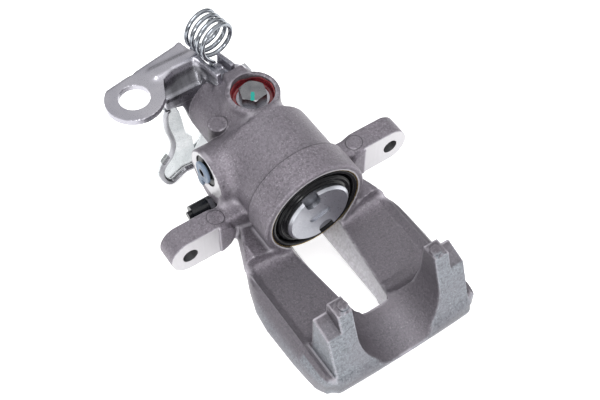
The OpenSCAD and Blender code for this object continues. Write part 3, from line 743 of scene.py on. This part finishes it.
def turned(name, profile, around, materials, **options):
    """A closed profile of (radius, y) turned about Y: x = r cos a, z = r sin a."""
    r, y = np.array(profile).T
    if (r * np.roll(y, -1) - np.roll(r, -1) * y).sum() < 0:
        r, y = r[::-1], y[::-1]
    a = (np.arange(around) / around * 2 * math.pi)[:, None]
    ring = np.stack([r * np.cos(a), y + 0 * a, r * np.sin(a)], -1).reshape(-1, 3)
    return mesh_piece(name, ring, quad_rows(around, len(r), True), materials, **options)


def blended(piece):
    """Bakes a piece's placement into its mesh."""
    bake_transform(piece)


AROUND = 192
OUTER = [(25.5, 0.9), (25.5, 6.3), (24.3, 6.3), (24.1, 2.6), (23.4, 2.5), (22.9, 5.5), (21.9, 5.9),
         (21.3, 2.6), (21.1, 1.3), (21.3, 0.7), (21.9, 1.2), (22.5, 3.6), (22.8, 3.3), (23.2, 1.0),
         (24.2, 0.3)]
INNER = [(21.3, 0.7), (21.4, 1.5), (21.0, 2.2), (20.0, 1.8), (19.2, 2.2), (17.5, 2.2), (17.5, -0.2),
         (18.3, -0.3), (19.2, 0.5), (20.0, 0.2), (20.7, 0.2)]


def points_of(piece):
    """Each point's X, Y and Z in millimetres."""
    co = np.empty(len(piece.data.vertices) * 3, np.float32)
    piece.data.vertices.foreach_get("co", co)
    return co.reshape(-1, 3).T * 1e3


boot_outer, boot_inner = (
    turned(name, smooth_loop(profile, 5), AROUND, [rubber], sharp_deg=60)
    for name, profile in (("boot_outer", OUTER), ("boot_inner", INNER)))
for piece, first, second, fixed_r in ((boot_outer, "housing", "spindle", 24.2),
                                      (boot_inner, "spindle", "piston_group", 21.0)):
    x, _, z = points_of(piece)
    blended(piece)
    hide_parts("dust_boot")

# %% [markdown]
# ## Return spring
# The spring is bright round wire, wound cold: a leg that rises from the lever through the
# bracket's channel, three and a half turns, and a rear leg that rests on the bracket. A
# wire is one circle carried along a smooth route. The route runs through the same points
# as the model's, and the circle's frame is carried along without twist.

# %% Sweep the wire
def swept(name, route, r, around, materials, **options):
    """A wire along a route, closed by rounded ends. Each ring is r (n cos a + b sin a)
    about its route point; n is turned on from ring to ring by the least rotation."""
    way = np.gradient(route, axis=0)
    way /= np.linalg.norm(way, axis=1)[:, None]
    n = np.empty_like(way)
    n[0] = np.cross(way[0], [0.3, 1, 0.2])
    for i in range(1, len(way)):
        n[i] = n[i - 1] - way[i] * (n[i - 1] @ way[i])
        n[i] /= np.linalg.norm(n[i])
    n[0] /= np.linalg.norm(n[0])
    b = np.cross(way, n)
    cap = np.array([0.92, 0.7, 0.38])   # ring radii of a rounded end, as shares of r
    depth = (np.sqrt(1 - cap ** 2) * r)[:, None]
    centre = np.concatenate([route[0] - way[0] * depth[::-1], route, route[-1] + way[-1] * depth])
    size = np.concatenate([cap[::-1] * r, np.full(len(route), r), cap * r])
    n, b = (np.concatenate([k[[0] * 3], k, k[[-1] * 3]]) for k in (n, b))
    a = (np.arange(around) / around * 2 * math.pi)[:, None]
    circles = n[:, None] * np.cos(a) + b[:, None] * np.sin(a)
    rings = centre[:, None] + size[:, None, None] * circles
    m = len(centre)
    points = np.concatenate([rings.reshape(-1, 3), route[:1] - way[:1] * r,
                             route[-1:] + way[-1:] * r])
    j = np.arange(0, around, 2)
    top = (m - 1) * around
    first = np.stack([np.full(len(j), m * around), (j + 2) % around, j + 1, j], 1)
    last = np.stack([np.full(len(j), m * around + 1), top + j, top + j + 1,
                     top + (j + 2) % around], 1)
    return mesh_piece(name, points, np.concatenate([quad_rows(m, around, False), first, last]),
                      materials, **options)


COIL, COIL_YAW = np.array([-1.3, 94.7, 43.0]), math.radians(8)
COIL_R, PITCH, TURNS, PER_TURN = 10, 4.3, 3.5, 24
step = np.arange(TURNS * PER_TURN + 1) / PER_TURN
a = np.radians(215 - 360 * step)
u, v, w = COIL_R * np.cos(a), PITCH * (step - TURNS / 2), COIL_R * np.sin(a)
turns = np.stack([u * math.cos(COIL_YAW) - v * math.sin(COIL_YAW),
                  u * math.sin(COIL_YAW) + v * math.cos(COIL_YAW), w], 1) + COIL
FRONT_LEG = [(-1.2, 95.6, 16), (-1.3, 95.5, 19), (-1.6, 94.8, 22.5), (-2.1, 92.6, 25.5),
             (-2.8, 89.8, 28.2), (-4, 87.4, 31), (-6.2, 86.5, 34.2)]
REAR_LEG = [(6.7, 103.6, 46.2), (6, 104, 43.8), (3.6, 104.3, 40), (-1.5, 104.5, 34.5),
            (-5.4, 104.6, 30.4), (-7.2, 104.6, 27.2), (-7.6, 104.5, 24.5)]
route = smooth_loop(np.concatenate([FRONT_LEG, turns, REAR_LEG]), 4,
                    closed=False)
spring = swept("coil_wire", route, 1.2, 20, [spring_steel], sharp_deg=60)
_, depths, heights = points_of(spring)
blended(spring)
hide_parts("return_spring")

# %% [markdown]
# ## Cable bracket and parking lever
# Both are pressed from sheet and zinc plated. What makes sheet look like sheet is the
# even thickness with soft bends and barely rounded cut edges, so they are distance
# functions again: plates joined over the bend radius and rounded by half a millimetre.

# %% Shapes of the sheet parts
EAR_PLAN = [(-58, 101.5), (-44, 102.5), (-37.5, 107.4), (-11.4, 112), (-7.9, 96.9), (-24, 96.6),
            (-30.5, 92.5), (-36.5, 81), (-50, 80)]
WEB = [(100, 29.9), (96.2, 29.9), (88, 17), (88, 12), (91.5, 12), (91.5, 17.2), (99.5, 28)]
FOOT = [(3.6, 10), (3.6, 23.6), (-10, 23.6), (-12, 19), (-33, 19), (-33, 12), (-24, 9),
        (-18, -8), (0, -12)]
CABLE, CABLE_R, CABLE_RIM = (-48.8, 90.1), 8.1, 15.2
SCREWS, SCREW_R = ((16.5, 6), (14, -11)), 2.7
HUB_R, RIM_WIDTH, WEB_Y, RIM_Y, BACK_Y = 12.5, 2.6, 94.4, 92.1, 97
LEVER = [(8, -9.5), (-3, -30), (-12, -48), (-19, -53), (-24.4, -52.5), (-28.2, -54.3),
         (-31.8, -56.3), (-34.8, -56.8), (-37.8, -54.6), (-40.2, -49.4), (-40.6, -42.9),
         (-37.7, -36.8), (-33.7, -32.6), (-31.3, -26.4), (-31.4, -20.5), (-33, -12.7), (-33.5, -4),
         (-31.8, 4.4), (-25, 3), (-22.4, -8.5), (-21, -21.6), (-17.6, -26.9), (-16.8, -38),
         (-10, -22), (-9, 6)]
RIM_ZONE = [(-50, 12), (-29.3, 12), (-28, -10), (-25.5, -25), (-29, -37), (-33, -44), (-31, -48.5),
            (-22, -46), (-13, -46), (-13, -70), (-50, -70)]


def turned_plane(u, v, centre, degrees):
    """Coordinates along and across a direction through a centre."""
    c, s = math.cos(math.radians(degrees)), math.sin(math.radians(degrees))
    u, v = u - centre[0], v - centre[1]
    return u * c + v * s, v * c - u * s


def bracket(x, y, z):
    """The bracket: an ear for the cable with a folded far edge, a channel under the
    spring, a web and a foot."""
    from_cable = np.hypot(x - CABLE[0], y - CABLE[1])
    flat = join(from_cable - CABLE_RIM, rounded(x, y, EAR_PLAN, 2), 1.5)
    f = carried(flat, z, 26.5, 30, 0.5)
    along, across = turned_plane(x, y, (-36.5, 107.4), 10)
    f = join(f, block(along, across, z, (0, -2.8, 22), (25, 0, 29.6), 0.5), 1.5)
    bend = [across + 3.2, z - 30 + 3.2]
    f = np.maximum(f, np.hypot(np.maximum(bend[0], 0), np.maximum(bend[1], 0))
                   + np.minimum(np.maximum(*bend), 0) - 3.2)
    u, v = turned_plane(x, y, (-4.1, 80.2), 12.5)
    f = join(f, block(u, v, z, (-2.8, -0.5, 15), (0, 31.5, 30), 0.7), 0.8)
    f = join(f, block(u, v, z, (7.6, 0, 21.2), (10.2, 11.5, 29), 0.7), 0.3)
    f = join(f, block(u, v, z, (-3.5, -0.5, 21.2), (10.2, 10.8, 23.6), 0.6), 1.6)
    f = join(f, carried(outline(y, z, WEB), x, -33, -8, 0.4), 5)
    foot = join(np.hypot(x, z) - 20.5, rounded(x, z, FOOT, 1.5), 2)
    f = join(f, carried(foot, y, 88, 91.5, 0.4), 1.2)
    f = cut(f, np.maximum(from_cable - CABLE_R, np.abs(z - 28) - 8), 0.5)
    f = cut(f, np.maximum(np.hypot(x, z) - 12, np.abs(y - 90) - 6), 0.4)
    for u, v in SCREWS:
        f = cut(f, np.maximum(np.hypot(x - u, z - v) - SCREW_R, np.abs(y - 90) - 6), 0.3)
    return f


def lever(x, y, z):
    """The lever: a flat web with a hub, a high rolled rim along the outer side of its
    arm and round the hook, and a tab for the spring."""
    arm = outline(x, z, [tuple(q) for q in smooth_loop(LEVER, 2)])
    along, across = turned_plane(x, z, (0, 0), 110)
    tab = np.maximum(np.maximum(9 - along, along - 17), np.abs(across) - 2.5)
    plan = np.minimum(join(np.hypot(x, z) - HUB_R, arm, 1.5), tab)
    f = carried(plan, y, WEB_Y, BACK_Y, 0.5)
    f = join(f, bar(x, z, y, HUB_R, 93, BACK_Y, 0.4), 0.5)
    rolled = both(np.maximum(plan, -plan - RIM_WIDTH), outline(x, z, RIM_ZONE), 1.5)
    f = join(f, carried(rolled, y, RIM_Y, BACK_Y, 1.25), 1.2)
    flats = np.maximum(np.hypot(x, z) - 7.52, np.abs(x) - 5.62)
    return cut(f, np.maximum(flats, np.abs(y - 95) - 5))


def lever_stain(points):
    """Painted dark reflection on the rolled rim, which is darker than the web: one where
    the rim stands up.
    """
    x, y, z = points.T
    return ramp(WEB_Y - 0.05 - y, 0, 0.3) * (np.hypot(x, z) > HUB_R + 1)


def web_stain(points):
    """The bracket's web and foot hang in the shade under the ear: this paints that shade
    and a dark reflection on them.
    """
    x, y, z = points.T
    beyond_ear = np.hypot(x - CABLE[0], y - CABLE[1]) > CABLE_RIM + 0.4
    return (ramp(29 - z, 0.5, 2.5) * ramp(-x, 5.5, 8) * ramp(x, -36, -33.5)
            * (y < 105) * beyond_ear)


def contoured(name, shape, low, high, step, materials, node, body, slot, sharp_deg=34, **masks):
    """A distance function's mesh in place of a frame node. Each of masks is a mask's name
    and the function of the points that works it out."""
    points, faces = contour(shape, low, high, step * (1))
    layers = {key: make(points) for key, make in masks.items()}
    piece = mesh_piece(name, points, faces, materials, sharp_deg, layers=layers)
    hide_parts(node)
    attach(piece, body)
    return piece


contoured("sheet_bracket", bracket, (-66, 73.5, -22.5), (22.5, 115, 31.5), 0.62, [zinc],
          "cable_bracket", "housing", "zinc_plate", stain=web_stain)
contoured("sheet_lever", lever, (-43.5, 91, -59.5), (14, 98, 18.5), 0.5, [lever_zinc],
          "park_lever", "lever", "zinc_plate", stain=lever_stain)

# %% [markdown]
# ## Lock bolt, sealing lacquer and hose plug
# The bolt's hexagon has the usual chamfer that turns its six corners into arcs. Someone
# dabbed green paint on it as an inspection mark, and brushed red lacquer into the recess
# round it, which ran and pooled unevenly. The plug is a moulded cap with a soft rim.

# %% Small shapes in the boss and the port
def bolt_shape(x, y, z):
    """Hexagon head with a chamfered crown over a washer seat, and the bolt's shank."""
    u, v = turned_plane(x, y, BOSS, 12)
    r = np.hypot(u, v)
    f = np.maximum(hexagon(v, u, 13), np.maximum(21.5 - z, z - 26.8))
    f = both(f, (r - 6.6) * 0.5 + (z - 26.8) * 0.866, 0.25)
    shank = np.maximum(r - 4, np.maximum(15.2 - z, z - 22))
    tip = np.maximum(r - 2.9, np.maximum(9.2 - z, z - 16))
    return np.minimum(f, np.minimum(shank, tip))


def lacquer_shape(x, y, z):
    """A ring of lacquer in the corner of the recess: its top wanders by a millimetre."""
    u, v = x - BOSS[0], y - BOSS[1]
    r, a = np.hypot(u, v), np.arctan2(v, u)
    wander = np.sin(3 * a + 0.7) + 0.6 * np.sin(7 * a + 2) + 0.35 * np.sin(13 * a)
    wall = np.maximum(np.abs(r - 11.25 - 0.1 * np.sin(5 * a)) - 0.28, z - 24.3 - 0.42 * wander)
    floor = np.maximum(np.maximum(r - 11.5, 8.7 - r), z - 20.35 - 0.14 * wander)
    return both(np.maximum(join(wall, floor, 1.6), 19.52 - z), r - 11.54, 0.1)


def plug_shape(x, y, z):
    """A round cap with a dished face and a pull tab, a collar that seals on the port's
    seat, a stem, and a hole through it."""
    u, v = y - PORT[0], z - PORT[1]
    r = np.hypot(u, v)
    f = bar(u, v, x, 6.2, -37.2, -35.5, 0.6)
    f = cut(f, bar(u, v, x, 4.9, -40, -36.8, 0.3), 0.5)
    f = join(f, bar(u, v, x, 3.2, -37.2, -35.6, 0.4), 0.5)
    f = join(f, bar(u, v, x, 8.5, -34.5, -33.1, 0.3), 0)
    f = join(f, bar(u, v, x, 4.9, -36, -27.1, 0.3), 0.2)
    tab = join(block(x, u, v, (-37.2, 0.5, -9.5), (-35.7, 4.5, -3), 0.4),
               bar(u - 2.5, v + 9.5, x, 2.6, -37.2, -35.7, 0.4), 1)
    f = join(f, tab, 0.6)
    return cut(f, np.maximum(r - 1.7, x + 30), 0.3)


def plug_black_collar_and_hole(points):
    """The collar is black, and the hole's wall is black as painted shade."""
    r = np.hypot(points[:, 1] - PORT[0], points[:, 2] - PORT[1])
    return np.maximum(ramp(points[:, 0], -35.4, -35.0), ramp(2.6 - r, 0, 0.3))


def paint_dab(points):
    """One inside the stripe of paint on the bolt head, with a wavy edge."""
    u, v = turned_plane(points[:, 0], points[:, 1], (2.2, 60.2), 56)
    ragged = 1.15 + 0.12 * np.sin(2.3 * u)
    across = np.clip((ragged - np.abs(v)) * 3, 0, 1)
    return across * np.clip(3.3 - np.abs(u), 0, 1) * (points[:, 2] > 26)


contoured("bolt_head", bolt_shape, (-5.5, 53.5, 8.6), (13.8, 73, 27.4), 0.4, [bolt_zinc],
          "lock_bolt", "housing", "zinc_plate", 25, paint=paint_dab)
contoured("lacquer_ring", lacquer_shape, (-8.2, 50.9, 19), (16.6, 75.7, 26), 0.26, [lacquer],
          "boss_sealant", "housing", "red_lacquer", 50)
contoured("hose_plug", plug_shape, (-38, 38.2, -7.6), (-26.5, 56.8, 14.8), 0.42, [plastic],
          "port_plug", "plug", "blue_plastic", 40, seal=plug_black_collar_and_hole)

# %% [markdown]
# ## Studio
# A pale floor that glows a little, an even light sky and two soft boxes. The key light
# comes from low in front, so that the faces that look along the piston axis are the
# brightest.

# %% Floor, lights and camera
def stand(o, right, up, back, place):
    """Puts a light or a camera into the scene at a place, along three unit vectors."""
    o.matrix_world = Matrix([[*row] for row in zip(right, up, back, place)] + [[0, 0, 0, 1]])
    bpy.context.scene.collection.objects.link(o)


def soft_box(name, place, size, watts):
    """A rectangular light at a place, turned towards the origin, in metres."""
    data = bpy.data.lights.new(name, "AREA")
    data.shape, data.size, data.size_y = "RECTANGLE", size[0], size[1]
    data.energy = watts
    o = bpy.data.objects.new(name, data)
    back = np.array(place, float)
    right = np.cross([0, 0, 1.0], back)
    right /= np.linalg.norm(right)
    back /= np.linalg.norm(back)
    stand(o, right, np.cross(back, right), back, place)


# the floor: four squares of three metres, half a millimetre below the caliper
gx, gy = np.meshgrid((-3000, 0, 3000), (-3000, 0, 3000), indexing="ij")
below = np.full(gx.shape, (cad_box[0].z - 0.0005) * 1000)
pale = Finish("pale_floor", 0.0, Roughness=0.9, Emission_Color=(1, 1, 1, 1),
              Emission_Strength=0.55, Specular_IOR_Level=0.1)
pale.done(pale.blend(pale.noise(0.002, 2), (0.93, 0.93, 0.93), (0.95, 0.95, 0.95)))
mesh_piece("floor", np.stack([gx, gy, below], -1).reshape(-1, 3),
                    [(0, 3, 4, 1), (1, 4, 5, 2), (3, 6, 7, 4), (4, 7, 8, 5)], [pale.material])
soft_box("key", (-0.55, -1.1, 0.55), (0.36, 0.26), 4.5)
soft_box("top", (-0.25, -0.1, 1.2), (0.7, 0.7), 7)
# the sky: brighter in front (-Y) than behind, and dimmer towards the horizon
SKY_FRONT, SKY_BACK, SKY_LOW = 1.55, 0.8, 0.25
world = bpy.data.worlds.new("studio")
bpy.context.scene.world = world
world.use_nodes = True
sky = Nodes(world.node_tree, "Generated")
background = sky.tree.nodes["Background"].inputs
background["Color"].default_value = (1, 1, 1, 1)
_, y, z = sky.axes()
by_y = sky.spread(y, -1, 1, SKY_FRONT, SKY_BACK, interpolation_type="SMOOTHSTEP")
by_z = sky.spread(z, 0.0, 0.6, SKY_LOW, 1.0, interpolation_type="SMOOTHSTEP")
sky.link(sky.maths("MULTIPLY", by_y, by_z), background["Strength"])

# %% [markdown]
# ### Camera
# The camera looks down on the caliper from the side of the fingers. Its three axes come
# from an azimuth, an elevation and a small roll.

# %% Place the camera
eye = bpy.data.cameras.new("camera")
eye.lens, eye.sensor_width = 65.65, 36.0
camera = bpy.data.objects.new("camera", eye)
AZ, EL, ROLL = (math.radians(a) for a in (-34.38, 54.46, 0.32))
back = np.array([math.sin(AZ) * math.cos(EL), -math.cos(AZ) * math.cos(EL), math.sin(EL)])
level = np.array([math.cos(AZ), math.sin(AZ), 0.0])
upward = np.cross(back, level)
right = level * math.cos(ROLL) + upward * math.sin(ROLL)
upward = upward * math.cos(ROLL) - level * math.sin(ROLL)
PLACE = (-0.183106, -0.253519, 0.445722)
stand(camera, right, upward, back, PLACE)
eye.clip_start, eye.clip_end = 0.01, 20
bpy.context.scene.camera = camera
bpy.context.scene.view_settings.view_transform = "Standard"
